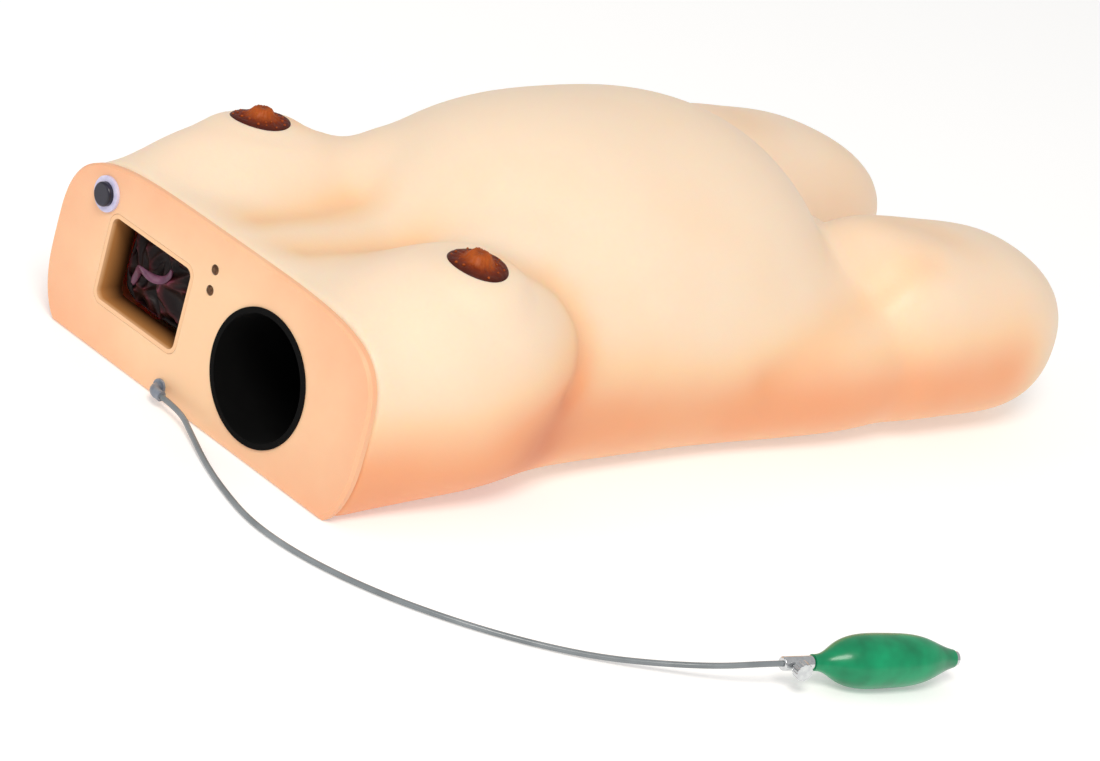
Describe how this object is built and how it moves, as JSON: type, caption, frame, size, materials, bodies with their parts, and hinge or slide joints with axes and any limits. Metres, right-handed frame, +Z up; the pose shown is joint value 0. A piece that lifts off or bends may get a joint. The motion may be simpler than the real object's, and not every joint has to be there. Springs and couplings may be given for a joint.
{
  "type": "maternity examination model",
  "caption": "Half-body pregnant torso with thigh stumps on a flat back, windowed chest-end panel with a round port and push button, and an air bag fed through a tube by a squeeze bulb.",
  "frame": {"origin": "bottom centre of the torso's box, on the surface it lies on, with the free air tube and bulb left out", "axes": "+X along the body from the chest end to the thighs, +Y to the person's left, +Z up"},
  "size_m": [0.8025, 0.6328, 0.2108],
  "materials": {
    "skin": "soft moulded vinyl, satin",
    "panel": "moulded vinyl sheet, satin",
    "liner": "moulded vinyl, satin",
    "nipple": "tinted vinyl, glossy",
    "board": "sealed plywood",
    "steel": "plated",
    "bronze_screw": "plated, dull",
    "port_rim": "moulded rubber, dull",
    "port_rubber": "matt black rubber",
    "bezel": "moulded, glossy",
    "button": "moulded, glossy",
    "switch": "moulded",
    "elbow": "moulded",
    "tube": "clear vinyl tube, smooth",
    "valve_metal": "polished plating",
    "bulb": "glossy moulded rubber",
    "bag": "latex rubber, soft sheen",
    "strap": "latex rubber",
    "fitting": "moulded",
    "foam": "open-cell foam",
    "doll": "moulded vinyl",
    "lead": "insulated lead"
  },
  "bodies": {
    "torso": {"torso_skin": "skin", "base_board": "board", "base_screws": "steel", "end_panel": "panel", "panel_screws": "bronze_screw", "panel_batten": "board", "window_liner": "liner", "port_collar": "port_rim", "port_sleeve": "port_rubber", "button_bezel": "bezel", "switch_body": "switch", "left_nipple": "nipple", "right_nipple": "nipple", "tube_elbow": "elbow", "air_tube": "tube", "valve_body": "valve_metal", "squeeze_bulb": "bulb", "intake_valve": "valve_metal", "lift_bag": "bag", "bag_strap": "strap", "bag_fitting": "fitting", "inner_tube": "tube", "foam_cradle": "foam", "practice_doll": "doll", "sound_unit": "switch", "switch_lead": "lead"},
    "button": {"button_cap": "button"},
    "valve_screw": {"release_screw": "valve_metal"}
  },
  "joints": [
    {"name": "button_press", "type": "slide", "parent": "torso", "child": "button", "axis": [1, 0, 0], "range_m": [0, 0.0025], "stiffness_N_per_m": 600},
    {"name": "release_turn", "type": "hinge", "parent": "torso", "child": "valve_screw", "pos_m": [-0.19818, -0.41528, 0.018], "axis": [-0.226, -0.9741, 0], "range_deg": [0, 360]}
  ]
}
